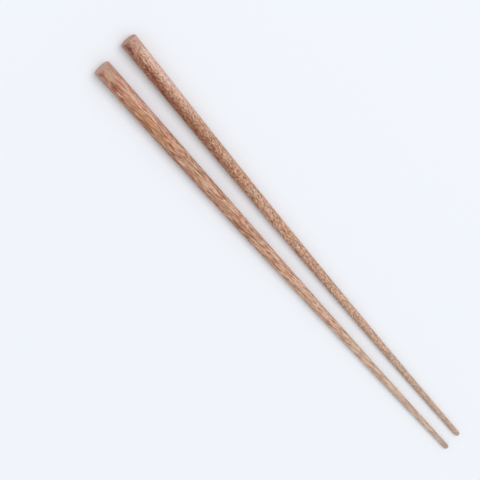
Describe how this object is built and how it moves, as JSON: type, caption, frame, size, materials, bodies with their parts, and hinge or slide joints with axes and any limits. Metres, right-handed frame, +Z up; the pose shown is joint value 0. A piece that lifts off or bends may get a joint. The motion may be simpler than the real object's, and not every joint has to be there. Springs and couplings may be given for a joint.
{
  "type": "pair of wooden chopsticks",
  "caption": "Pair of long round wooden chopsticks for cooking and serving, tapering from a flat butt to a fine rounded tip, lying side by side with the tips drawn together.",
  "frame": {"origin": "on the surface that the pair lies on, in the middle of what the pair covers", "axes": "+X along the pair from the butts to the tips, +Y across it from the lower chopstick to the upper one, +Z up"},
  "size_m": [0.3016, 0.0294, 0.01],
  "materials": {
    "turned_hardwood": "fine-sanded open-pored hardwood with a thin satin oil finish"
  },
  "bodies": {
    "root": {"lower_chopstick": "turned_hardwood", "upper_chopstick": "turned_hardwood"}
  },
  "joints": []
}
